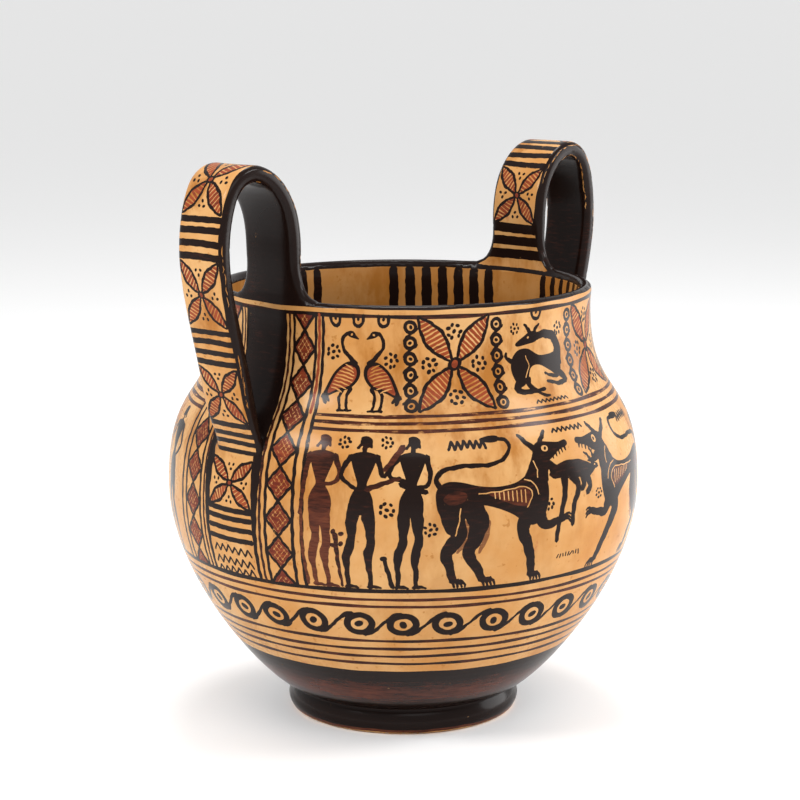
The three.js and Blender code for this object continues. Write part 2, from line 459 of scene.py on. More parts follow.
def person(pen, arms, step=1.0, tone=None, legTone=None):
    for side in (-1, 1):
        x = side * step
        ankle = 3.4 * x
        leg = [
            (1.9 * side, 38.0), (2.5 * x, 30), (2.9 * x + 0.5, 21.5),
            (3.2 * x - 0.9, 14.6), (ankle - 0.3, 7), (ankle, 1.6),
        ]
        foot = [(ankle - 0.9, 1.1), (ankle + 1.4, 1.3), (ankle + 4.2, 0.7)]
        pen.stroke(leg, (5.2, 5.2, 3.3, 3.9, 2.2, 1.9), tone=legTone or tone)
        pen.stroke(foot, (1.9, 1.8, 0.9), tone=legTone or tone)
    half = [
        (1.7, 57.8), (5.3, 56.4), (4.6, 52.6), (3.0, 48.2), (1.9, 44.4),
        (3.5, 41.4), (4.7, 38.0), (4.5, 34.2), (2.1, 32.4),
    ]
    pen.fill(half + [(-x, y) for x, y in half[::-1]], tone=tone)
    for line in arms:
        pen.stroke(line, (2.5, 2.0, 1.7, 1.4), tone=tone)
    pen.stroke([(0, 57), (0, 60.4)], 2.0, tone=tone)
    pen.dot(0.3, 61.7, 2.35, tone=tone)
    hair = [
        (-1.8, 62.2), (-2.9, 60.4), (-3.7, 59.2), (-2.3, 58.9), (-1.3, 60.4), (1.3, 61.0),
        (2.1, 59.6), (3.3, 59.5), (3.0, 61.2), (2.8, 63.2), (0.4, 64.6), (-2.2, 63.9),
    ]
    pen.fill(hair, tone=tone)


def beast(pen, tone=None, stride=0.0):
    tail = [
        (-20.4, 43), (-22.6, 47.6), (-19.6, 51.2), (-11, 52.8), (-1, 52.6),
        (5.6, 54.2), (9.8, 58.4), (8.8, 62.6), (4.4, 63.4),
    ]
    pen.stroke(tail, (2.4, 2.2, 2.0, 2.0, 1.9, 1.8, 1.7, 1.7, 2.0))
    pen.fill([(5.4, 64.6), (1.0, 64.9), (-3.4, 63.6), (0.4, 62.0), (5.2, 62.3)])
    body = [
        (-23.0, 39.6), (-22.2, 43.8), (-18.4, 46.4), (-12.6, 46.2), (-5, 44.2), (3, 43.4), (11, 44.4),
        (17, 47.4), (22.6, 48.6), (26.2, 43.6), (26.4, 35.6), (23.8, 28.6), (19.2, 25.8), (14.8, 27.0),
        (9.6, 31.0), (3, 34.2), (-4, 36.2), (-10, 35.2), (-15.4, 32.0), (-21.4, 33.0),
    ]
    pen.fill(body, tone=tone)
    hind = [(-16.6, 38), (-15.8, 30), (-14.0, 23.6), (-18.6, 16.6), (-17.0, 9.6), (-15.4, 3.2)]
    second = [(-9.0, 37), (-5.6, 29.4), (-7.0, 22.6), (-9.6, 16.0), (-5.8, 9.4), (-2.8, 3.4)]
    front = [(17.8, 33), (13.8, 25), (16.0, 18.4), (18.4, 11), (19.6, 3.4)]
    front = [(x + stride * (1 - y / 33), y) for x, y in front]
    for line in (hind, second):  # thin slip smeared beside the legs
        pen.stroke([(x + 4.4, y) for x, y in line[1:4]], (1.6, 2.6, 1.2), tone=0.05, dry=0.85)
    legs = [
        (hind, (11.0, 10.0, 6.6, 5.6, 3.8, 3.2)),
        (second, (9.0, 9.2, 6.6, 5.2, 4.2, 3.4)),
        (front, (8.6, 6.2, 4.8, 4.2, 3.6)),
        ([(21.4, 30), (24.6, 25.0), (29.8, 25.6), (35.4, 27.0)], (6.6, 4.4, 3.4, 2.8)),
    ]
    for line, width in legs:
        pen.stroke(line, width, tone=tone)
    for x in (-15.8, -3.0, 19.0 + stride * 0.9):
        for i in range(4):
            toe = [(x - 0.4 + i * 1.2, 3.8), (x + 0.8 + i * 1.55, 2.2), (x + 1.1 + i * 1.6, 0.5)]
            pen.stroke(toe, (2.2, 1.35, 1.0), tone=tone)
    for i in range(3):
        claw = [(34.8, 27.4 - i * 0.4), (37.0, 28.4 - i * 1.4), (38.2, 27.6 - i * 1.7)]
        pen.stroke(claw, (1.7, 1.2, 0.8), tone=tone)
    pen.stroke([(19.6, 41), (22.2, 48), (24.6, 54.6)], (13.4, 10.4, 8.0), tone=tone)
    skull = [
        (20.8, 57.4), (24.4, 60.2), (30, 59.6), (35, 58.9), (39.4, 59.4),
        (40.0, 57.0), (34.4, 55.2), (29.8, 52.4), (25.0, 51.0), (21.4, 52.6),
    ]
    jaw = [(23.2, 52.6), (26.6, 48.4), (31.0, 47.2), (35.4, 48.6), (31.6, 49.6), (28.2, 52.2)]
    pen.fill(skull, tone=tone)
    pen.fill(jaw, tone=tone)
    for i in range(5):
        tooth = [(30.6 + i * 1.9, 54.2 + i * 0.5), (30.9 + i * 1.9, 52.3 + i * 0.62)]
        pen.stroke(tooth, (1.1, 0.6))
    pen.stroke([(22.0, 57.2), (18.4, 60.4), (15.2, 64.2)], (2.8, 2.4, 1.7))
    pen.stroke([(24.6, 58.8), (26.8, 61.6), (29.2, 64.6)], (2.6, 2.2, 1.6))
    pen.dot(27.2, 57.0, 1.55, "clay")
    pen.dot(27.4, 57.0, 0.75)
    # thinner slip on flank and haunch, ribs and joints left bare
    flank = [(-1.6, 41.0), (6, 41.2), (15.0, 42.0), (17.8, 38.4), (15.8, 34.2), (10, 35.2), (4, 37.8)]
    haunch = [(-20.0, 39.6), (-15.6, 42.6), (-10.4, 41.4), (-11.6, 38.0), (-17.0, 36.8)]
    pen.fill(flank, "slip", 0.36)
    pen.fill(haunch, "slip", 0.48)
    pen.stroke([(-5.4, 41.0), (4, 41.4), (15.0, 42.3), (18.4, 38.6), (15.8, 33.6)], 0.5, "clay")
    for i in range(8):
        x = 1.4 + i * 1.95
        pen.stroke([(x, 41.0), (x + 0.2, 38.6 - i * 0.42)], 0.5, "clay", wobble=0.05)
    bareJoints = [
        [(15.0, 45.4), (19.4, 43.2), (21.6, 38.4)],
        [(20.2, 52.4), (21.6, 48.8), (21.4, 45.4)],
        [(-13.0, 35.4), (-13.8, 29), (-15.2, 24)],
    ]
    for line in bareJoints:
        pen.stroke(line, 0.5, "clay")


def prey(pen):  # a hare hangs between the two beasts
    pen.stroke([(-13.5, 45.0), (-7, 45.8), (2, 45.2), (9.0, 43.6)], (4.0, 7.6, 7.8, 5.0), tone=0.6)
    pen.stroke([(8.4, 43.6), (11.6, 45.0), (13.4, 44.4)], (4.0, 3.6, 2.2), tone=0.8)
    pen.stroke([(10.6, 46.0), (8.4, 49.4), (6.0, 51.4)], (1.7, 1.5, 0.8))
    pen.stroke([(11.8, 46.4), (11.4, 49.8), (10.2, 52.4)], (1.7, 1.5, 0.8))
    legs = [
        [(-7.6, 44), (-7.4, 37), (-9.4, 29.0), (-11.6, 20.4), (-11.4, 16.6)],
        [(-3.8, 43.6), (0.4, 38.0), (-2.6, 30.6), (-3.6, 22.4)],
        [(5.4, 42.6), (7.6, 37.6), (5.8, 34.4)],
        [(3.4, 42.6), (3.8, 38.6), (2.4, 36.4)],
    ]
    for line in legs:
        pen.stroke(line, (4.0, 3.0, 2.6, 2.2, 2.2)[:len(line)], tone=0.7)
    pen.stroke([(-12.4, 45.4), (-14.4, 46.6)], (2.4, 1.4))
    pen.dot(12.0, 45.3, 0.45, "clay")


# body drawing

bodySheet = Sheet(sheetWidth, profileRun[-1], True)


flatPen = Pen(bodySheet, lambda p: p)


def bodyPen(offset, height):
    stretch = sheetRadius / radiusAt(height)
    x, y = across(offset), lengthAt(height)
    return Pen(bodySheet, lambda p: p * (stretch, 1) + (x, y))


def ringFill(low, high, tone, kind="slip", dry=0.0):
    # a painted zone all round, between two lengths of the unrolled sheet
    turn = np.linspace(0, 2 * math.pi, 181)
    xs = turn / (2 * math.pi) * sheetWidth
    wave = 0.16 * np.sin(9 * turn) + 0.1 * np.sin(23 * turn)
    outline = np.vstack((np.stack((xs, low + wave), 1), np.stack((xs, high - wave), 1)[::-1]))
    bodySheet.add(outline, kind, tone, dry)


def ringLine(height, width, tone=None, dry=0.0, spans=((0.0, 1.0),)):
    # spans are shares of the way round, each drawn in several strokes of the brush
    y = lengthAt(height)
    phase = [rand.uniform(0, 6.3) for i in range(4)]
    for start, end in spans:
        ends = np.linspace(start, end, max(2, round((end - start) * 9) + 1))
        for a, b in zip(ends[:-1], ends[1:]):
            turn = np.linspace(a, b, 24)
            wave = 2 * math.pi * turn
            mid = y + 0.22 * np.sin(2 * wave + phase[0]) + 0.12 * np.sin(7 * wave + phase[1])
            mid = mid + 0.06 * np.sin(19 * wave + phase[2])
            half = width / 2 * (1 + 0.14 * np.sin(11 * wave + phase[3]) + 0.08 * np.sin(23 * wave))
            xs = turn * sheetWidth
            outline = np.vstack((np.stack((xs, mid + half), 1), np.stack((xs, mid - half), 1)[::-1]))
            bodySheet.add(outline, "slip", rand.uniform(0.6, 0.95) if tone is None else tone, dry)


def upright(offset, low, high, width, kind="slip", tone=None, dry=0.0):
    points = [(across(offset), lengthAt(h)) for h in np.linspace(low, high, 12)]
    flatPen.stroke(points, width, kind, tone, dry=dry)


def paintRings():
    ringFill(mark["underside"] - 0.6, mark["underside"] + 2.4, 0.3)
    ringFill(mark["underside"] + 0.9, lengthAt(bands["blackFrom"]), 0.9)
    for low, high, tone in bands["thinSlip"]:
        ringFill(lengthAt(low), lengthAt(high), tone)
    ringFill(lengthAt(bands["lipLow"]), mark["lip"] + bands["lipInside"], 0.95)
    ringLine(bands["neckTop"], 1.7, 0.55, 0.5)
    pictures = [[across(side + edge) / sheetWidth for edge in bands["picture"]] for side in (0, 180)]
    for height in bands["shoulder"]:
        ringLine(height, 1.6, 0.42, 0.86, pictures)
    ringLine(bands["ground"], 2.0, 0.8)
    for height in bands["belowGround"]:
        ringLine(height, 1.5, 0.42, 0.6)
    for height in bands["low"]:
        ringLine(height, bands["lineWidth"], 0.5, 0.5)
    step = 360 / bands["eyeCount"]
    for i in range(bands["eyeCount"]):
        pen = bodyPen(9.2 + (i - 2) * step + rand.uniform(-0.5, 0.5), bands["eyes"])
        wide = math.radians(step) * radiusAt(bands["eyes"])
        pen.ring(0, 0, 5.2, 3.0, squash=0.94)
        pen.dot(rand.uniform(-0.4, 0.4), rand.uniform(-0.3, 0.3), 1.8)
        link = [(1.6, -5.6), (5.2, -4.3), (wide * 0.5, 0), (wide - 4.8, 4.6), (wide - 1.4, 5.5)]
        pen.stroke(link, (2.6, 2.0, 1.4, 1.9, 2.5))


def paintInside():
    low, high = lengthInside(bands["insideDark"]), mark["lip"] + bands["lipInside"] + 0.6
    # painted shade: the bare clay from the lip down to the dark slip is darkened with the stain colour, where
    # the neck shades it
    ringFill(mark["lip"] + bands["lipInside"], low, 0.0, "clay", 0.55)  # darker clay in the mouth
    ringFill(low, mark["floor"] + 2, 0.9)
    beside = [side + sign * (12.5 + 5.8 * i) for side in (0, 180) for sign in (-1, 1) for i in range(7)]
    between = [side + 5.8 * (i - 2.5) for side in (90, 270) for i in range(6)]
    for offset in beside + between:
        x = across(offset)
        bar = [(x + 0.2, high), (x - 0.2, (low + high) / 2), (x, low)]
        thick = rand.uniform(0.85, 1.1)
        flatPen.stroke(bar, (5.2 * thick, 6.2 * thick, 5.4 * thick), dry=0.3)


def handlePanel(side):
    top, ground = bands["neckTop"], bands["ground"]
    # solid dark under the loop, then the panel that carries the strap's pattern down the belly
    half = [
        (0, 138), (5.4, 136), (6.9, 130), (7.4, 125), (8.0, 129), (8.3, 138),
        (8.3, 150), (8.3, 168), (8.3, top), (4, top), (0, top),
    ]
    dark = half + [(-x, h) for x, h in half[::-1]]
    bodySheet.add(np.array([(across(side + x), lengthAt(h)) for x, h in dark]), "slip", 0.72)
    crossFlower(bodyPen(side, 117.4), 0, 0, 25.5, 20.5, 1.5, True, 7, 1.35)
    for height in (106.2, 102.6, 98.2, 93.6):
        bodyPen(side, height).stroke([(-12.8, 0.2), (0, -0.2), (12.8, 0.1)], 2.3, wobble=0.06)
    for height in (88.7, 83.6, 79.4):
        zigzag(bodyPen(side, height), -11.4, 11.4, 0, 3.0, 6, 1.0)
    count = 8
    span = lengthAt(top) - lengthAt(ground)
    for sign in (-1, 1):
        beside = (1.7, 2.0, 3.2, 4.8, 4.0, 3.0, 2.0, 1.8)  # thick where it leaves the strap's end
        lines = ((7.9, beside, 0.8), (9.5, 1.3, 0.5), (11.1, 1.5, 0.7), (18.3, 1.6, 0.8))
        lines += ((bands["picture"][0], 1.7, 0.8),)
        for offset, width, tone in lines:
            upright(side + sign * offset, ground, top, width, tone=tone, dry=0.3)
        upright(side + sign * 19.4, bands["shoulder"][0], top, 1.5, "red", 0.45)
        for i in range(count + 1):  # the column begins and ends with half a lozenge
            y = lengthAt(ground) + span * i / count
            height = float(np.interp(y, profileRun[outside], profile[outside, 1]))
            shown = {0: 1, count: -1}.get(i, 0)
            wide = math.radians(6.9) * radiusAt(height)
            lozenge(bodyPen(side + sign * 14.6, height), wide, span / count, shown)


def hangingArc(pen, x, top, half):
    # half is the left side of the arc, from the line above it down to its lowest point
    arc = [(x + dx, top + dy) for dx, dy in half] + [(x - dx, top + dy) for dx, dy in half[-2::-1]]
    pen.stroke(arc, 1.5)


def neckBand(side, plain):
    low, high = bands["shoulder"][0] + 1, bands["neckTop"] - 1.2
    tall = lengthAt(high) - lengthAt(low)
    for offset in (45.9, 71.4, 100.5, 126.0):
        eyeChain(bodyPen(side + offset, low), 0, 0, tall, 6)
    for offset in (58.4, 113.4):
        pen = bodyPen(side + offset, (low + high) / 2)
        crossFlower(pen, 0, 0.2, 31, tall * 1.03, 2.4, False, 11, 1.45)
        for x, y in ((0, 13.5), (0, -13.5), (10.5, 0), (-10.5, 0)):
            rosette(pen, x, y, 1.0)
    for offset, flip in ((32.4, 1), (139.4, -1)):
        pen = bodyPen(side + offset, low)
        if plain:
            for x, y in ((-9, 9), (-9, 28), (9, 9), (9, 28), (0, 18.5)):
                rosette(pen, x, y, 1.25)
        else:
            bird(pen.at(-8.0 * flip, 0.4, 1.0, flip))
            bird(pen.at(8.0 * flip, 0.4, 1.0, -flip))
            for x, y in ((-13.4, 25.0), (12.8, 22.0)):
                rosette(pen, x * flip, y, 0.95)
        for x in (-12.6, -2.0, 9.4):  # half circles hang from the line above
            hangingArc(pen, x, tall, ((-2.4, 1.4), (-1.8, -2.0), (0, -3.2)))
            pen.dot(x, tall - 0.1, 0.8)
    pen = bodyPen(side + 85.6, low)
    deer(pen.at(-1.6, -1.4, 1.1, -1 if plain else 1))
    zigzag(pen, -6, 13, 1.6, 1.3, 8, 0.8)
    rosette(pen, -12.6, 33.0, 0.75)
    rosette(pen, 15.4, 31.0, 0.85)
    hangingArc(pen, 0, tall, ((-3.0, 1.4), (-2.2, -1.6), (0, -2.8)))
    pen.dot(0, tall + 0.1, 0.8)


def figureBand(side):
    ground = bands["ground"] + 0.9
    restingArms = [
        [(-5.4, 56), (-6.6, 47), (-7.4, 39), (-8.4, 31.5)],
        [(5.4, 56), (7.6, 49.6), (6.2, 45.4), (-1.6, 43.4)],
    ]
    raisedArms = [
        [(-5.4, 56), (-8.6, 49.4), (-7.2, 46.0), (-2.0, 42.6)],
        [(5.4, 56), (8.2, 48.2), (10.8, 51.4), (14.2, 56.6)],
    ]
    foldedArms = [
        [(-5.4, 56), (-9.2, 50.2), (-7.4, 47.2), (-0.6, 46.4)],
        [(5.4, 56), (7.0, 49.0), (5.8, 44.4), (-0.8, 43.8)],
    ]
    for offset, flip in ((25.6, 1), (150.4, -1)):
        pen = bodyPen(side + offset, ground).at(0, 0, 1.0, flip)
        person(pen.at(-1.2, 0, 1.0, 1, 0.0), restingArms, 0.8, 0.4, 0.31)
        person(pen.at(14.2, 0, 1.0, 1, 0.035), raisedArms, 1.35, 0.66)
        person(pen.at(33.4, 0, 1.0, 1, 0.045), foldedArms, 1.05, 0.8)
        # what they hold, then rosettes and small plants between them
        pen.stroke([(24.6, 50.6), (28.4, 55.4), (32.0, 60.2)], (1.8, 2.3, 2.6), tone=0.4)
        pen.stroke([(17.6, 42.8), (24.6, 45.4), (30.6, 47.6)], (2.4, 2.0, 1.6), tone=0.5)
        pen.stroke([(31.0, 45.0), (36.0, 43.4), (41.0, 41.6)], (2.6, 2.6, 2.2), tone=0.8)
        pen.stroke([(-9.0, 33), (-8.6, 18), (-7.4, 1)], (1.2, 1.4, 1.5), tone=0.3)
        for x, y, size in ((7.6, 61.6, 0.8), (25.4, 62.0, 0.8), (25.6, 34.6, 0.95), (42.6, 26.4, 0.85)):
            rosette(pen, x, y, size)
        pen.stroke([(24.4, 14), (26.2, 7), (27.6, 1)], (1.7, 1.8, 2.0))
        pen.dot(24.2, 14.2, 1.3)
        pen.stroke([(5.2, 24), (6.0, 12), (7.2, 1)], (2.2, 1.7, 1.1), tone=0.5)
        for x, y in ((4.4, 25), (7.6, 24.2), (7.4, 20.0), (4.2, 19.2)):
            pen.dot(x, y, 1.1, tone=0.5)
        zigzag(pen, 50.5, 66.5, 60.4, 3.2, 6, 1.3)
    for sign in (1, -1):
        beast(bodyPen(side + 88 - sign * 24.0, ground).at(0, 0, 0.98, sign), 0.66, 0.0 if sign == 1 else 9.0)
    pen = bodyPen(side + 88, ground)
    prey(pen)
    rosette(pen, -16.0, 33.0, 0.8)
    rosette(pen, 13.4, 33.0, 0.7)
    zigzag(pen, -9, 10, 62.6, 1.8, 7, 1.0)
    scribble(pen, -10, 9.6, 9)


def backBand(side):
    # the side away from the picture, the same bands with fewer figures
    ground = bands["ground"] + 0.9
    arms = [
        [(-5.4, 56), (-8.6, 48.5), (-6.2, 45), (-2.4, 42)],
        [(5.4, 56), (8.6, 50), (10.6, 44), (10.2, 36)],
    ]
    for offset, flip in ((30, 1), (150, -1)):
        person(bodyPen(side + offset, ground).at(0, 0, 1.0, flip), arms, 1.0, 0.9)
        pen = bodyPen(side + offset + 27 * flip, ground).at(0, 0, 1.0, flip)
        deer(pen.at(0, 4, 1.5))
        for x, y in ((-34, 52), (-36, 14), (-14, 5), (14, 4), (25, 50)):
            rosette(pen, x, y, 1.2)
    pen = bodyPen(side + 90, ground)
    crossFlower(pen, 0, 33, 34, 60, 3.0, False, 14, 1.6)
    for x, y in ((0, 58), (0, 8)):
        rosette(pen, x, y, 1.3)


paintRings()
paintInside()
for side in (0, 180):
    handlePanel(side)
neckBand(0, False)
neckBand(180, True)
figureBand(0)
backBand(180)
print("body drawing", len(bodySheet.shapes), "shapes")

# strap drawing, across the section and along the loop


def strapSection(s):
    w, t = s["width"] / 2, s["thickness"] / 2
    e = s["edge"]
    corner = np.linspace(0, math.pi / 2, 8)
    points = [(0, t)]
    for right, up, quarter in ((1, 1, 1), (1, -1, 0), (-1, -1, -1), (-1, 1, 2)):  # the four rounded corners
        cx, cy = right * (w - e), up * (t - e)
        start = quarter * math.pi / 2
        points += [(cx + e * math.cos(start - a), cy + e * math.sin(start - a)) for a in corner]
    return np.array(points + [(0, t)])


section = strapSection(strap)
sectionRun = runLength(section)
loop = rounded(strap["loop"], step=0.7)
for i in range(strap["easeRounds"]):
    loop[1:-1] = loop[1:-1] * 0.5 + (loop[:-2] + loop[2:]) * 0.25
loopRun = runLength(loop)
strapSheet = Sheet(sectionRun[-1], loopRun[-1], False)


def paintStrap(sheet):
    mid, rim = sheet.width / 2, strap["rimAt"]
    face = strap["width"] / 2 - 1.4
    corners = [(-1, -1), (sheet.width + 1, -1), (sheet.width + 1, sheet.height + 1), (-1, sheet.height + 1)]
    sheet.add(np.array(corners, float), "slip", 0.7)
    ys = np.linspace(-1, sheet.height + 1, 120)
    edge = 0.25 * np.sin(ys * 0.21) + 0.15 * np.sin(ys * 0.55 + 1)
    left, right = np.stack((mid - face + edge, ys), 1), np.stack((mid + face + edge * 0.7, ys), 1)
    sheet.add(np.vstack((left, right[::-1])), "clay", 0.5)
    pen = Pen(sheet, lambda p: p + (mid, rim))
    stripes = [
        ((4.6, 10.8, 17.0), 4.3),
        ((45.2, 50.2, 55.0, 59.6), 2.8),
        ((89, 93.4, 98.2, 103.2), 2.6),
        ((134.5, 138.6, 143, 147.6), 2.5),
        ((175, 179.4, 183.4, 187.6), 2.4),
    ]
    for group, width in stripes:
        for y in group:
            ends = [y + rand.uniform(-0.4, 0.4) for i in range(3)]
            bar = [(-face - 0.5, ends[0]), (0, ends[1]), (face + 0.5, ends[2])]
            pen.stroke(bar, width * rand.uniform(0.9, 1.1), wobble=0.06, dry=0.35)
    for y, high in ((31.4, 25), (74, 27), (118.5, 27), (161.5, 24)):
        crossFlower(pen, 0, y, 2 * face, high, 1.5, True, 8)
    for reach, stretches in ((strap["width"] / 2 + 0.4, 5), (strap["width"] / 2 + 5.6, 3)):
        for sign in (-1, 1) * stretches:  # paint worn off the corners here and there
            y = rand.uniform(0, 155)
            end = y + rand.uniform(9, 26)
            while y < end:
                x, long = sign * (reach + rand.uniform(-0.5, 0.5)), rand.uniform(0.6, 5.0)
                bend = [x + rand.uniform(-0.3, 0.3) for i in range(2)]
                fleck = [(x, y), (bend[0], y + long / 2), (bend[1], y + long)]
                thick = (0.15, rand.uniform(0.25, 0.7), 0.15)
                pen.stroke(fleck, thick, "clay", wobble=0.12, dry=rand.uniform(0.25, 0.75))
                y += long + rand.uniform(0.2, 1.7)


paintStrap(strapSheet)
print("strap drawing", len(strapSheet.shapes), "shapes")

# cutting a sheet along its outlines


def within(points, outline):
    # which points lie inside, by how often the outline winds round them
    a, b = outline, np.roll(outline, -1, axis=0)
    x, y = points[:, :1], points[:, 1:]
    turn = (b[:, 0] - a[:, 0]) * (y - a[:, 1]) - (x - a[:, 0]) * (b[:, 1] - a[:, 1])
    up = (a[:, 1] <= y) & (b[:, 1] > y) & (turn > 0)
    down = (a[:, 1] > y) & (b[:, 1] <= y) & (turn < 0)
    return up.sum(1) != down.sum(1)


def gridPoints(sheet, rows, columns):
    xs, ys = np.meshgrid(np.linspace(0, sheet.width, columns + 1), rows)
    return np.stack((xs.ravel(), ys.ravel()), 1)


def cutSheet(name, sheet, rows, columns, painted=True, cuts=((), ())):
    # triangles cut along every outline, each with the colour painted on it last
    grid = gridPoints(sheet, rows, columns)
    lines = [(0, x) for x in (0, sheet.width, *cuts[0])] + [(1, y) for y in (0, sheet.height, *cuts[1])]
    onEdge = np.any([np.abs(grid[:, axis] - value) < 1e-6 for axis, value in lines], axis=0)
    shapes = sheet.shapes if painted else []
    points, edges = [grid], []
    if shapes:
        drawn = np.vstack([s[0] for s in shapes])
        cell, rowKey = fineness["clear"], 100000  # one whole number stands for each cell
        used = np.unique(np.round(drawn / cell).astype(np.int64) @ (1, rowKey))
        here = np.round(grid / cell).astype(np.int64) @ (1, rowKey)
        near = np.zeros(len(grid), bool)
        for step in (0, 1, -1, rowKey, -rowKey):
            near |= np.isin(here + step, used)
        points = [grid[~near | onEdge]]
    count = len(points[0])
    for axis, value in lines:
        index = np.flatnonzero(np.abs(points[0][:, axis] - value) < 1e-6)
        index = index[np.argsort(points[0][index, 1 - axis])]
        edges += list(zip(index[:-1].tolist(), index[1:].tolist()))
    for outline, kind, tone, dry in shapes:
        n = len(outline)
        points.append(outline)
        edges += [(count + i, count + (i + 1) % n) for i in range(n)]
        count += n
    made = delaunay_2d_cdt([Vector(p) for p in np.vstack(points).tolist()], edges, [], 0, 1e-5)
    verts = np.array([tuple(v) for v in made[0]])
    faces = np.array(made[2])
    mids = verts[faces].mean(1)
    keep = (mids[:, 0] > 0) & (mids[:, 0] < sheet.width) & (mids[:, 1] > 0) & (mids[:, 1] < sheet.height)
    faces, mids = faces[keep], mids[keep]
    brush = np.zeros((len(faces), 4))
    order = np.argsort(mids[:, 0])
    sortedX = mids[order, 0]
    colours = {"clay": (0, 0), "slip": (1, 0), "red": (0, 1)}
    for outline, kind, tone, dry in shapes:
        (x0, y0), (x1, y1) = outline.min(0), outline.max(0)
        some = order[np.searchsorted(sortedX, x0):np.searchsorted(sortedX, x1)]
        some = some[(mids[some, 1] >= y0) & (mids[some, 1] <= y1)]
        some = some[within(mids[some], outline)] if len(some) else some
        brush[some] = (*colours[kind], tone, dry)
    mesh = bpy.data.meshes.new(name)
    used, faces = np.unique(faces, return_inverse=True)
    faces = faces.reshape(-1, 3)
    flat = np.hstack((verts[used] * fit, np.zeros((len(used), 1))))
    mesh.from_pydata(flat.tolist(), [], faces.tolist())
    mesh.attributes.new("brush", "FLOAT_COLOR", "FACE").data.foreach_set("color", brush.ravel())
    return mesh, flat[faces.ravel(), :2] / fit


def keepObject(name, data):
    made = bpy.data.objects.new(name, data)
    bpy.context.scene.collection.objects.link(made)
    return made


def railCurve(name, points):
    # a plain curve in the X Z plane that the trees read
    data = bpy.data.curves.new(name, "CURVE")
    data.dimensions = "3D"
    line = data.splines.new("POLY")
    line.points.add(len(points) - 1)
    for p, (x, z) in zip(line.points, points):
        p.co = (x * fit, 0, z * fit, 1)
    made = keepObject(name, data)
    made.hide_render = True
    return made


# node trees


class Wire:
    def __init__(self, graph, socket):
        self.graph, self.socket = graph, socket

    def apply(self, operation, *values):
        return self.graph.node("ShaderNodeMath", {"operation": operation}, dict(enumerate((self, *values))))

    def __add__(self, other):
        return self.apply("ADD", other)

    def __sub__(self, other):
        return self.apply("SUBTRACT", other)

    def __mul__(self, other):
        return self.apply("MULTIPLY", other)

    def __truediv__(self, other):
        return self.apply("DIVIDE", other)

    def __rsub__(self, other):
        return (self * -1.0) + other

    def __rtruediv__(self, other):
        return self.apply("POWER", -1.0) * other

    __radd__ = __add__
    __rmul__ = __mul__


class Graph:
    def __init__(self, tree):
        self.tree = tree

    def node(self, kind, settings=None, values=None, out=0):
        made = self.tree.nodes.new(kind)
        for name, value in (settings or {}).items():
            setattr(made, name, value)
        for name, value in (values or {}).items():
            if isinstance(value, Wire):
                self.tree.links.new(value.socket, made.inputs[name])
            else:
                made.inputs[name].default_value = value
        self.last = made
        return Wire(self, made.outputs[out]) if len(made.outputs) else made

    def side(self, out):
        # another output of the node made last
        return Wire(self, self.last.outputs[out])


def newTree(name, sizes):
    # sizes are the tree's named inputs with their values
    tree = bpy.data.node_groups.new(name, "GeometryNodeTree")
    tree.interface.new_socket("Geometry", in_out="INPUT", socket_type="NodeSocketGeometry")
    tree.interface.new_socket("Geometry", in_out="OUTPUT", socket_type="NodeSocketGeometry")
    kinds = {
        float: "NodeSocketFloat",
        bpy.types.Object: "NodeSocketObject",
        bpy.types.Material: "NodeSocketMaterial",
    }
    for label, value in sizes.items():
        kind = next(k for t, k in kinds.items() if isinstance(value, t))
        tree.interface.new_socket(label, in_out="INPUT", socket_type=kind)
    graph = Graph(tree)
    graph.node("NodeGroupInput")
    given = graph.last
    return tree, graph, {s.name: Wire(graph, s) for s in given.outputs if s.name}


def endTree(graph, shape, material):
    shape = graph.node("GeometryNodeSetShadeSmooth", None, {"Geometry": shape})
    shape = graph.node("GeometryNodeRealizeInstances", None, {"Geometry": shape})
    shape = graph.node("GeometryNodeSetMaterial", None, {"Geometry": shape, "Material": material})
    graph.node("NodeGroupOutput", None, {"Geometry": shape})


def rail(graph, curve, length):
    # place and heading on a curve at a length along it
    ownSpace = {"transform_space": "ORIGINAL"}
    shape = graph.node("GeometryNodeObjectInfo", ownSpace, {"Object": curve}, "Geometry")
    byLength = {"mode": "LENGTH", "use_all_curves": True}
    graph.node("GeometryNodeSampleCurve", byLength, {"Curves": shape, "Length": length})
    sample = graph.last
    place = graph.node("ShaderNodeSeparateXYZ", None, {0: Wire(graph, sample.outputs["Position"])})
    xz = (place, graph.side(2))
    lean = graph.node("ShaderNodeSeparateXYZ", None, {0: Wire(graph, sample.outputs["Tangent"])})
    return (*xz, lean, graph.side(2))


def clampTo(wire, low, high, start, end):
    values = {"Value": wire, "From Min": low, "From Max": high, "To Min": start, "To Max": end}
    return wire.graph.node("ShaderNodeMapRange", {"interpolation_type": "SMOOTHSTEP"}, values)


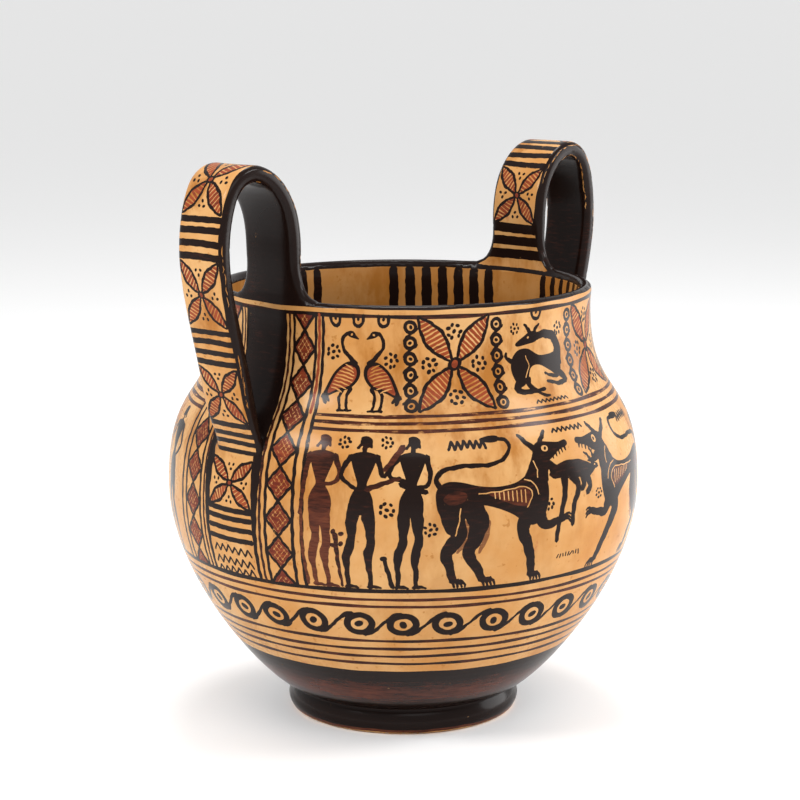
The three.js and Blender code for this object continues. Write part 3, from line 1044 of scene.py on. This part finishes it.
def turnTree(sizes):
    tree, g, given = newTree("turnOnTheWheel", sizes)
    flatX = g.node("ShaderNodeSeparateXYZ", None, {0: g.node("GeometryNodeInputPosition")})
    flatY = g.side(1)
    angle = flatX / given["Sheet Radius"] + given["Start Angle"]
    radius, height = rail(g, given["Profile"], flatY)[:2]
    cosine, sine = angle.apply("COSINE"), angle.apply("SINE")
    # slow unevenness from the potter's hands, none on the axis
    spot = g.node("ShaderNodeCombineXYZ", None, {0: cosine, 1: sine, 2: height * 14.0})
    slowness = {"Vector": spot, "W": given["Seed"], "Scale": 0.9, "Detail": 1.0}
    slow = g.node("ShaderNodeTexNoise", {"noise_dimensions": "4D"}, slowness)
    fade = clampTo(radius, 0.0, given["Steady Radius"], 0.0, 1.0)
    radius = radius + (slow - 0.5) * given["Unevenness"] * fade
    place = g.node("ShaderNodeCombineXYZ", None, {0: radius * cosine, 1: radius * sine, 2: height})
    shape = g.node("GeometryNodeSetPosition", None, {"Geometry": given["Geometry"], "Position": place})
    shape = g.node("GeometryNodeMergeByDistance", None, {"Geometry": shape, "Distance": given["Weld"]})
    endTree(g, shape, given["Material"])
    return tree


def strapTree(sizes):
    tree, g, given = newTree("bendTheStrap", sizes)
    flatX = g.node("ShaderNodeSeparateXYZ", None, {0: g.node("GeometryNodeInputPosition")})
    flatY = g.side(1)
    wide, thick = rail(g, given["Section"], flatX)[:2]
    radius, height, leanX, leanZ = rail(g, given["Loop"], flatY)
    climb = height - given["Rim Height"]
    rising = flatY.apply("LESS_THAN", given["Loop Length"] * given["Rising Part"])
    low = (1.0 - climb / given["Flare Height"]).apply("MAXIMUM", 0.0).apply("MINIMUM", 1.0) * rising
    flare = (1.0 - (1.0 - low * low).apply("SQRT")) * given["Flare Width"]
    share = flatY / given["Loop Length"]
    spread = clampTo(share, given["Narrow From"], given["Narrow To"], given["Rising Share"], 1.0)
    wide = wide * (flare / given["Half Width"] + spread)
    grown = clampTo(climb, 0.0, given["Thicken Height"], given["Lip Share"], 1.0)
    ending = clampTo(share, given["Taper From"], given["Taper To"], 1.0, given["Belly Share"])
    thick = thick * (grown * rising + ending * (1.0 - rising))
    angle = given["Side"] - wide / radius
    radius = radius + thick * leanZ
    height = height - thick * leanX
    x, y = radius * angle.apply("COSINE"), radius * angle.apply("SINE")
    place = g.node("ShaderNodeCombineXYZ", None, {0: x, 1: y, 2: height})
    shape = g.node("GeometryNodeSetPosition", None, {"Geometry": given["Geometry"], "Position": place})
    shape = g.node("GeometryNodeMergeByDistance", None, {"Geometry": shape, "Distance": given["Weld"]})
    endTree(g, shape, given["Material"])
    return tree


def runTree(name, mesh, tree, sizes):
    # sizes go in by socket identifier, then the result becomes a plain mesh
    flat = keepObject(name + "Flat", mesh)
    modifier = flat.modifiers.new("shape", "NODES")
    modifier.node_group = tree
    sockets = [s for s in tree.interface.items_tree if s.item_type == "SOCKET" and s.in_out == "INPUT"]
    named = {s.name: s.identifier for s in sockets}
    for label, value in sizes.items():
        modifier[named[label]] = value
    depsgraph = bpy.context.evaluated_depsgraph_get()
    made = bpy.data.meshes.new_from_object(flat.evaluated_get(depsgraph))
    bpy.data.objects.remove(flat)
    return made


def closedMesh(mesh):
    # caps the strap's buried ends and turns every face outward
    shape = bmesh.new()
    shape.from_mesh(mesh)
    rims = [e for e in shape.edges if e.is_boundary]
    cut = len(shape.faces)
    if rims:
        bmesh.ops.holes_fill(shape, edges=rims, sides=0)
        bmesh.ops.triangulate(shape, faces=[f for f in shape.faces if len(f.verts) > 3])
    if shape.calc_volume(signed=True) < 0:
        bmesh.ops.reverse_faces(shape, faces=shape.faces)
    left = sum(not e.is_manifold for e in shape.edges)
    print(mesh.name, cut, "faces,", len(rims), "rim edges closed,", left, "open edges left")
    shape.to_mesh(mesh)
    shape.free()
    return mesh


def steps(start, end, step):
    return np.linspace(start, end, max(2, int(round((end - start) / step)) + 1))[:-1]


stops = [0, mark["underside"] - fineness["ringReach"], mark["underside"], mark["foot"], mark["outer"], lipTop]
stops += [mark["lip"], mark["inner"], mark["floor"]]
rowRuns = [steps(a, b, gap) for a, b, gap in zip(stops[:-1], stops[1:], fineness["bodyGaps"])]
bodyRows = np.concatenate(rowRuns + [stops[-1:]])
bodyTwinRows = np.unique(np.concatenate((bodyRows, (bodyRows[1:] + bodyRows[:-1]) / 2)))
strapRows = np.linspace(0, strapSheet.height, fineness["strapRows"])
strapTwinRows = np.linspace(0, strapSheet.height, fineness["strapTwinRows"])

# where each flat sheet lies on the baked picture, in its pixels
bake = {
    "size": 1024,
    "half": (4, 690),
    "front": (4, 36, 420),
    "back": (428, 460, 844),
    "inside": (850, 925, 960, 986),
    "under": (1020, 990),
    "straps": ((700, 856), (864, 1020)),
    "strapLong": (4, 1020),
}


def bodyUv(corners):
    x, y = corners[:, 0], corners[:, 1]
    mids = np.repeat(corners.reshape(-1, 3, 2).mean(1), 3, axis=0)
    knots = (mark["underside"], lengthAt(bands["blackFrom"]), lipTop)
    left, right = bake["half"]
    u = left + (right - left) * x / sheetWidth
    insideKnots = (lipTop, lengthInside(bands["insideDark"]), mark["inner"], mark["floor"])
    v = np.interp(y, insideKnots, bake["inside"])
    under = mids[:, 1] < mark["underside"]
    v[under] = np.interp(y[under], (0, mark["underside"]), bake["under"])
    wall = (mids[:, 1] >= mark["underside"]) & (mids[:, 1] < lipTop)
    firstHalf = mids[:, 0] < sheetWidth / 2
    for key, start, here in (("front", 0, wall & firstHalf), ("back", 0.5, wall & ~firstHalf)):
        u[here] = left + (right - left) * (x[here] / sheetWidth - start) * 2
        v[here] = np.interp(y[here], knots, bake[key])
    return np.stack((u, v), 1) / bake["size"]


def strapUv(corners, side):
    left, right = bake["straps"][side]
    low, high = bake["strapLong"]
    u = left + (right - left) * corners[:, 0] / strapSheet.width
    v = low + (high - low) * corners[:, 1] / strapSheet.height
    return np.stack((u, v), 1) / bake["size"]


def flatMesh(name, sheet, rows, columns, unwrap, painted=True, cuts=((), ())):
    mesh, corners = cutSheet(name, sheet, rows, columns, painted, cuts)
    if unwrap:
        mesh.uv_layers.new(name="OFBake").data.foreach_set("uv", unwrap(corners).ravel())
    return mesh


clayPaint = bpy.data.materials.new("paintedClay")
profileRail = railCurve("profileRail", profile)
sectionRail = railCurve("sectionRail", section)
loopRail = railCurve("loopRail", loop)
turnSizes = {
    "Profile": profileRail,
    "Sheet Radius": sheetRadius * fit,
    "Start Angle": math.radians(180 + seamAt),
    "Unevenness": vessel["unevenness"] * fit,
    "Steady Radius": vessel["steadyRadius"] * fit,
    "Seed": vessel["seed"],
    "Weld": fineness["weld"] * fit,
    "Material": clayPaint,
}
strapSizes = {
    "Section": sectionRail,
    "Loop": loopRail,
    "Loop Length": loopRun[-1] * fit,
    "Rim Height": vessel["rim"] * fit,
    "Flare Height": strap["flareHeight"] * fit,
    "Flare Width": strap["flareWidth"] * fit,
    "Half Width": strap["width"] / 2 * fit,
    "Rising Part": strap["risingPart"],
    "Rising Share": strap["risingWidth"] / strap["width"],
    "Narrow From": strap["narrow"][0],
    "Narrow To": strap["narrow"][1],
    "Thicken Height": strap["thickenHeight"] * fit,
    "Lip Share": strap["atLip"] / strap["thickness"],
    "Belly Share": strap["atBelly"] / strap["thickness"],
    "Taper From": strap["taper"][0],
    "Taper To": strap["taper"][1],
    "Side": 0.0,
    "Weld": fineness["weld"] * fit,
    "Material": clayPaint,
}
wheel, bender = turnTree(turnSizes), strapTree(strapSizes)
bodyCuts = ((sheetWidth / 2,), (mark["underside"], lipTop))
flat = flatMesh("body", bodySheet, bodyRows, fineness["bodyColumns"], bodyUv, True, bodyCuts)
bodyMesh = closedMesh(runTree("body", flat, wheel, turnSizes))
# the twins are the same forms without the drawing, for smooth normals
flat = flatMesh("bodyTwin", bodySheet, bodyTwinRows, fineness["bodyTwinColumns"], None, False)
bodyTwin = runTree("bodyTwin", flat, wheel, turnSizes)
strapMeshes, strapTwins = [], []
for side, angle in enumerate((math.pi, 0.0)):
    sizes = dict(strapSizes, Side=angle)
    flat = flatMesh("strap", strapSheet, strapRows, fineness["strapColumns"], lambda c: strapUv(c, side))
    strapMeshes.append(closedMesh(runTree("strap", flat, bender, sizes)))
    flat = flatMesh("strapTwin", strapSheet, strapTwinRows, fineness["strapTwinColumns"], None, False)
    strapTwins.append(runTree("strapTwin", flat, bender, sizes))
print("sheets wrapped")

# one piece: straps joined to the body

krater = keepObject("paintedKrater", bodyMesh)
helpers = []
for i, mesh in enumerate(strapMeshes):
    helper = keepObject("strap%d" % i, mesh)
    join = krater.modifiers.new("join%d" % i, "BOOLEAN")
    join.operation, join.solver, join.object = "UNION", "MANIFOLD", helper
    helpers.append(helper)
depsgraph = bpy.context.evaluated_depsgraph_get()
joined = bpy.data.meshes.new_from_object(krater.evaluated_get(depsgraph))
krater.modifiers.clear()
krater.data = joined
for helper in helpers + [profileRail, sectionRail, loopRail]:
    bpy.data.objects.remove(helper)
print("joined", len(joined.vertices), "points", len(joined.polygons), "faces")


def meshArrays(mesh):
    points = np.empty(len(mesh.vertices) * 3)
    mesh.vertices.foreach_get("co", points)
    normals = np.empty(len(mesh.vertices) * 3)
    mesh.vertex_normals.foreach_get("vector", normals)
    mesh.calc_loop_triangles()
    corners = np.empty(len(mesh.loop_triangles) * 3, np.int32)
    mesh.loop_triangles.foreach_get("vertices", corners)
    return points.reshape(-1, 3), normals.reshape(-1, 3), corners.reshape(-1, 3)


def nearestOn(twin, points):
    # distance and smooth normal of the clean twin nearest each point
    verts, normals, faces = meshArrays(twin)
    tree = BVHTree.FromPolygons(verts.tolist(), faces.tolist())
    hits = [tree.find_nearest(p) for p in points.tolist()]
    where = np.array([tuple(h[0]) for h in hits])
    ids = faces[[h[2] for h in hits]]
    a, b, c = (verts[ids[:, k]] for k in range(3))
    ab, ac, ap = b - a, c - a, where - a
    dots = [np.einsum("ij,ij->i", p, q) for p, q in ((ab, ab), (ab, ac), (ac, ac), (ap, ab), (ap, ac))]
    low = np.maximum(dots[0] * dots[2] - dots[1] ** 2, 1e-30)
    v = np.clip((dots[2] * dots[3] - dots[1] * dots[4]) / low, 0, 1)
    w = np.clip((dots[0] * dots[4] - dots[1] * dots[3]) / low, 0, 1)
    mixed = normals[ids[:, 0]] * (1 - v - w)[:, None]
    mixed = mixed + normals[ids[:, 1]] * v[:, None] + normals[ids[:, 2]] * w[:, None]
    return np.array([h[3] for h in hits]), mixed / np.maximum(np.linalg.norm(mixed, axis=1), 1e-9)[:, None]


def turnedOut(normals, rough):
    # flips each normal that points against the mesh's own
    return normals * np.where(np.einsum("ij,ij->i", normals, rough) < 0, -1, 1)[:, None]


def evenOut(mesh, joint, normals, lift):
    # each point of the joint takes the mean of itself and its neighbours
    ends = np.empty(len(mesh.edges) * 2, np.int32)
    mesh.edges.foreach_get("vertices", ends)
    ends = np.concatenate((ends.reshape(-1, 2), ends.reshape(-1, 2)[:, ::-1]))
    ends = ends[joint[ends[:, 0]]]
    shared = np.bincount(ends[:, 0], minlength=len(normals))[:, None] + 1.0
    for i in range(strap["jointRounds"]):
        both = np.hstack((normals, lift[:, None]))
        total = both.copy()
        np.add.at(total, ends[:, 0], both[ends[:, 1]])
        total /= shared
        normals, lift = total[:, :3] / np.linalg.norm(total[:, :3], axis=1)[:, None], total[:, 3]
    return normals, lift


def softenJoints(mesh):
    points, rough, faces = meshArrays(mesh)
    bodyGap, bodyNormal = nearestOn(bodyTwin, points)
    bodyNormal = turnedOut(bodyNormal, rough)
    blended, lift = bodyNormal.copy(), np.zeros(len(points))
    joint = np.zeros(len(points), bool)
    soft = strap["fillet"] * fit
    around = (np.abs(points[:, 1]) < strap["jointWidth"] * fit) & (points[:, 2] > strap["jointAbove"] * fit)
    for sign, twin in zip((-1, 1), strapTwins):
        near = np.flatnonzero((points[:, 0] * sign > 0) & around)
        gap, normal = nearestOn(twin, points[near])
        normal = turnedOut(normal, rough[near])
        own = bodyGap[near]
        share = np.clip(0.5 + (own - gap) / (2 * soft), 0, 1)  # 0 on the body, 1 on the strap
        share = share * share * (3 - 2 * share)
        blended[near] = bodyNormal[near] * (1 - share)[:, None] + normal * share[:, None]
        crease = np.clip((1 - np.einsum("ij,ij->i", bodyNormal[near], normal)) / 0.5, 0, 1)
        other = np.abs(own - gap)
        lift[near] = np.where(other < soft, (soft - other) ** 2 / (4 * soft) * crease, 0)
        joint[near] = (share > 0.01) & (share < 0.99)
    blended /= np.linalg.norm(blended, axis=1)[:, None]
    blended, lift = evenOut(mesh, joint, blended, lift)
    moved = points + blended * lift[:, None]
    mesh.vertices.foreach_set("co", moved.ravel())
    mesh.update()
    mesh.normals_split_custom_set_from_vertices(blended.tolist())


for polygon in joined.polygons:
    polygon.use_smooth = True
softenJoints(joined)
joined.materials.clear()
joined.materials.append(clayPaint)
print("joints softened")

# surface: fired clay, dark slip and red, thinly varnished

paint = {
    "clayPale": (0.560, 0.318, 0.128, 1),
    "clayDeep": (0.465, 0.206, 0.053, 1),
    # brown for stains and specks, and also the painted shade on the clay inside the mouth
    "stainAndShade": (0.32, 0.118, 0.019, 1),
    "halo": (0.345, 0.102, 0.033, 1),
    "slipThin": (0.100, 0.024, 0.0115, 1),
    "slipThick": (0.0100, 0.0048, 0.0036, 1),
    "redBright": (0.243, 0.046, 0.014, 1),
    "redDeep": (0.100, 0.0154, 0.0077, 1),
    "clayRough": 0.28,
    "slipRough": 0.2,
    "redRough": 0.4,
    "gloss": 0.06,
    "varnish": 0.09,
    "varnishRough": 0.15,
    # how fine the patterns are, waves a metre
    "streaks": 150.0,
    "clouds": 16.0,
    "mottle": 55.0,
    "grain": 420.0,
    "drips": 44.0,
    "patches": 95.0,
    "specks": 360.0,
    "rubbing": 210.0,
    "waves": 70.0,
    "turning": 2400.0,
    "relief": 0.14,
    "reliefDepth": 0.0006,
}


def clayShader(material, p):
    material.use_nodes = True
    tree = material.node_tree
    tree.nodes.clear()
    g = Graph(tree)
    place = g.node("ShaderNodeTexCoord", None, None, "Object")

    def noise(scale, detail=3.0, rough=0.55, at=place):
        values = {"Vector": at, "Scale": scale, "Detail": detail, "Roughness": rough}
        return g.node("ShaderNodeTexNoise", None, values)

    def blend(factor, a, b):
        return g.node("ShaderNodeMix", {"data_type": "RGBA"}, {0: factor, 6: a, 7: b}, 2)

    painted = {"attribute_type": "GEOMETRY", "attribute_name": "brush"}
    colour = g.node("ShaderNodeAttribute", painted, None, "Color")
    dry = g.side("Alpha")
    slip = g.node("ShaderNodeSeparateColor", None, {0: colour})
    red, tone = g.side(1), g.side(2)
    # brush marks run round the pot, so the noise is drawn out sideways
    drawn = g.node("ShaderNodeVectorMath", {"operation": "MULTIPLY"}, {0: place, 1: (1.0, 1.0, 6.0)})
    streak = noise(p["streaks"], 4.0, 0.6, drawn)
    broad = noise(p["clouds"], 4.0, 0.6)
    middle = noise(p["mottle"], 4.0, 0.6)
    fine = noise(p["grain"], 3.0, 0.6)
    # clay, its brown stains, specks and worn reddish patches, and painted shade on the clay inside the mouth
    clay = blend(clampTo(broad * 0.7 + middle * 0.3, 0.36, 0.66, 0.0, 1.0), p["clayPale"], p["clayDeep"])
    g.node("ShaderNodeSeparateXYZ", None, {0: place})
    height = g.side(2)
    drip = g.node("ShaderNodeVectorMath", {"operation": "MULTIPLY"}, {0: place, 1: (1.0, 1.0, 0.45)})
    stained = clampTo(noise(p["drips"], 5.0, 0.62, drip), 0.48, 0.66, 0.0, 0.95)
    clay = blend(stained * clampTo(height, 0.085, 0.15, 0.35, 1.0), clay, p["stainAndShade"])
    clay = blend(clampTo(noise(p["patches"], 4.0, 0.7), 0.62, 0.74, 0.0, 0.55), clay, p["halo"])
    clay = blend(clampTo(noise(p["specks"], 2.0, 0.5), 0.65, 0.73, 0.0, 0.6), clay, p["stainAndShade"])
    # bare clay with a dry value takes the stain colour: worn flecks on the straps' corners, and painted shade
    # inside the mouth
    clay = blend((1.0 - slip) * (1.0 - red) * dry, clay, p["stainAndShade"])
    # slip, thin where the tone is low and broken where the brush ran dry
    body = clampTo(tone * 1.25 + (streak - 0.5) * 0.9 + (broad - 0.5) * 0.6, 0.15, 0.85, 0.0, 1.0)
    dark = blend(body, p["slipThin"], p["slipThick"])
    loaded = streak + fine * 0.35 + (1.0 - dry) * 1.2
    thinWash = clampTo(tone + streak * 0.3, 0.2, 0.5, 0.8, 1.0)
    cover = clampTo(loaded, 0.60, 0.78, 0.12, 1.0) * thinWash
    redBody = clampTo(tone * 0.8 + (streak - 0.5) * 1.1, 0.2, 0.85, 0.0, 1.0)
    redInk = blend(redBody, p["redBright"], p["redDeep"])
    redCover = clampTo(streak + fine * 0.4, 0.3, 0.6, 0.82, 1.0)
    # rubbed spots on the dark paint
    rubbed = clampTo(noise(p["rubbing"], 4.0, 0.65), 0.70, 0.76, 0.0, 0.5)
    base = blend(slip * cover * (1.0 - rubbed), clay, dark)
    base = blend(red * redCover, base, redInk)
    rough = p["clayRough"] + slip * (p["slipRough"] - p["clayRough"]) + red * (p["redRough"] - p["clayRough"])
    rough = rough + (broad - 0.5) * 0.12 + (fine - 0.5) * 0.06
    # faint turning lines and grain
    rings = (height * p["turning"] + broad * 5.0).apply("SINE")
    relief = rings * 0.05 + fine * 0.16 + noise(p["waves"], 2.0) * 0.5 + slip * 0.1
    depth = {"Strength": p["relief"], "Distance": p["reliefDepth"], "Height": relief}
    bump = g.node("ShaderNodeBump", None, depth)
    shader = g.node("ShaderNodeBsdfPrincipled", None, {
        "Base Color": base,
        "Roughness": rough,
        "Normal": bump,
        "Specular IOR Level": p["gloss"],
        "Coat Weight": p["varnish"],
        "Coat Roughness": p["varnishRough"],
    })
    g.node("ShaderNodeOutputMaterial", None, {"Surface": shader})


clayShader(clayPaint, paint)
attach(krater, "root")
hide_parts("krater")

# camera as in the photograph: left handle nearer, a little above the rim

view = {
    "bearing": 222.7,
    "distance": 967.3,
    "height": 315.3,
    "pitch": 10.357,
    "lens": 99.43,
    "sensor": 36,
    "shift": -0.0041,
    "clip": (0.05, 1000),
}
lensData = bpy.data.cameras.new("camera")
lensData.lens, lensData.sensor_width, lensData.shift_x = view["lens"], view["sensor"], view["shift"]
lensData.clip_start, lensData.clip_end = view["clip"]
camera = keepObject("camera", lensData)
bearing = math.radians(view["bearing"])
stand = (math.cos(bearing) * view["distance"], math.sin(bearing) * view["distance"], view["height"])
camera.location = Vector(stand) * fit
camera.rotation_euler = (math.radians(90 - view["pitch"]), 0, bearing + math.pi / 2)
bpy.context.scene.camera = camera

# floor and studio light

studio = {
    "paper": (0.95, 0.95, 0.95, 1),
    "paperRough": 0.6,
    "floor": 300,  # metres from the middle to each edge
    "sky": 0.82,
    "aim": 0.12,  # height that the lamps point at, metres
    # name, bearing from the camera, distance out, height, width, depth, power
    "lamps": [
        ("front", 20, 1.1, 1.1, 1.2, 0.5, 4.2),
        ("left", -55, 0.98, 0.86, 0.5, 0.22, 7.2),
        ("right", 78, 0.98, 0.86, 0.5, 0.2, 4.7),
        ("side", 106, 1.1, 0.3, 0.8, 0.8, 7),
        ("top", 180, 0.35, 1.3, 0.5, 0.5, 6.2),
    ],
}
floorMesh = bpy.data.meshes.new("floor")
reach = studio["floor"]
floorCorners = [(-reach, -reach, 0), (reach, -reach, 0), (reach, reach, 0), (-reach, reach, 0)]
floorMesh.from_pydata(floorCorners, [], [(0, 1, 2, 3)])
floor = keepObject("floor", floorMesh)
paper = bpy.data.materials.new("paper")
paper.use_nodes = True
paperShader = paper.node_tree.nodes["Principled BSDF"]
paperShader.inputs["Base Color"].default_value = studio["paper"]
paperShader.inputs["Roughness"].default_value = studio["paperRough"]
floorMesh.materials.append(paper)
for name, turn, out, up, wide, deep, power in studio["lamps"]:
    light = bpy.data.lights.new(name, "AREA")
    light.shape, light.size, light.size_y, light.energy = "ELLIPSE", wide, deep, power
    lamp = keepObject(name, light)
    lamp.visible_camera = False
    way = bearing + math.radians(turn)
    lamp.location = (math.cos(way) * out, math.sin(way) * out, up)
    toward = Vector((0, 0, studio["aim"])) - lamp.location
    lamp.rotation_euler = toward.to_track_quat("-Z", "Y").to_euler()
world = bpy.data.worlds.new("studio")
bpy.context.scene.world = world
world.use_nodes = True
sky = world.node_tree.nodes["Background"]
sky.inputs["Color"].default_value = (1, 1, 1, 1)
sky.inputs["Strength"].default_value = studio["sky"]
bpy.context.scene.view_settings.view_transform = "Standard"
